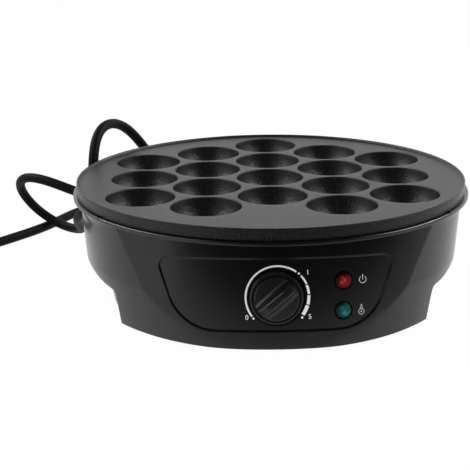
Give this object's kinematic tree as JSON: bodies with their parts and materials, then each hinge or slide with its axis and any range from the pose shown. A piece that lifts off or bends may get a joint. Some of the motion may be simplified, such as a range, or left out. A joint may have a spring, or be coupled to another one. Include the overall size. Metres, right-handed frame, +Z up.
{
  "type": "takoyaki maker",
  "caption": "Round electric table cooker whose dark nonstick plate has half-round baking cups; black housing with a front panel, a turning heat knob, two indicator lamps and a mains lead.",
  "frame": {"origin": "on the table under the centre of the baking plate, measured without the mains lead", "axes": "+Z up; the control panel faces -Y; +X to the right as seen from the panel's side"},
  "size_m": [0.4663, 0.4095, 0.106],
  "materials": {
    "black_plastic": "semi-gloss black moulded plastic",
    "cover_plastic": "satin black moulded plastic",
    "knob_plastic": "satin black moulded plastic",
    "foot_rubber": "dark grey rubber",
    "nonstick": "dark grey matte nonstick coating on cast aluminium",
    "sheath": "dull steel sheath",
    "steel": "plain zinc-plated steel",
    "ceramic": "glazed ivory ceramic",
    "brass": "plain brass",
    "copper": "plain copper",
    "red_lens": "clear red moulded lens",
    "green_lens": "clear green moulded lens",
    "lamp_glass": "clear glass",
    "cord_rubber": "black rubber sheath",
    "block_plastic": "ivory moulded plastic",
    "wire_brown": "brown insulation",
    "wire_blue": "blue insulation",
    "wire_black": "black insulation",
    "wire_green": "green insulation with a yellow stripe",
    "plated": "nickel-plated brass"
  },
  "bodies": {
    "cooker": {"housing": "black_plastic", "bottom_cover": "cover_plastic", "foot_front_left": "foot_rubber", "foot_front_right": "foot_rubber", "foot_back_left": "foot_rubber", "foot_back_right": "foot_rubber", "cover_screws": "steel", "baking_plate": "nonstick", "plate_screws": "steel", "heating_element": "sheath", "element_pins": "steel", "element_seal_left": "ceramic", "element_seal_right": "ceramic", "element_clip_front_left": "steel", "element_clip_front_right": "steel", "element_clip_back_left": "steel", "element_clip_back_right": "steel", "element_clip_screws": "steel", "heat_reflector": "steel", "reflector_screws": "steel", "thermostat_bracket": "steel", "thermostat_body": "ceramic", "thermostat_terminals": "brass", "thermostat_screws": "steel", "capillary_tube": "copper", "sensor_bulb": "copper", "bulb_clip": "steel", "bulb_clip_screw": "steel", "lens_red": "red_lens", "lens_green": "green_lens", "lens_nut_red": "steel", "lens_nut_green": "steel", "lamp_red": "lamp_glass", "lamp_green": "lamp_glass", "thermal_fuse": "ceramic", "fuse_clip": "steel", "terminal_block": "block_plastic", "terminal_screws": "steel", "wire_live": "wire_brown", "wire_neutral": "wire_blue", "wire_heater": "wire_black", "wire_earth": "wire_green", "cord_clamp": "block_plastic", "cord_clamp_screws": "steel", "cord_tail": "cord_rubber", "strain_relief": "cord_rubber", "power_cord": "cord_rubber", "plug_body": "cord_rubber", "plug_pins": "plated"},
    "knob": {"thermostat_shaft": "steel", "knob": "knob_plastic", "knob_leaf_spring": "steel"}
  },
  "joints": [
    {"name": "knob_turn", "type": "hinge", "parent": "cooker", "child": "knob", "pos_m": [-0.0003, -0.11442, 0.03539], "axis": [0, 0.9907, -0.1357], "range_deg": [0, 260]}
  ]
}
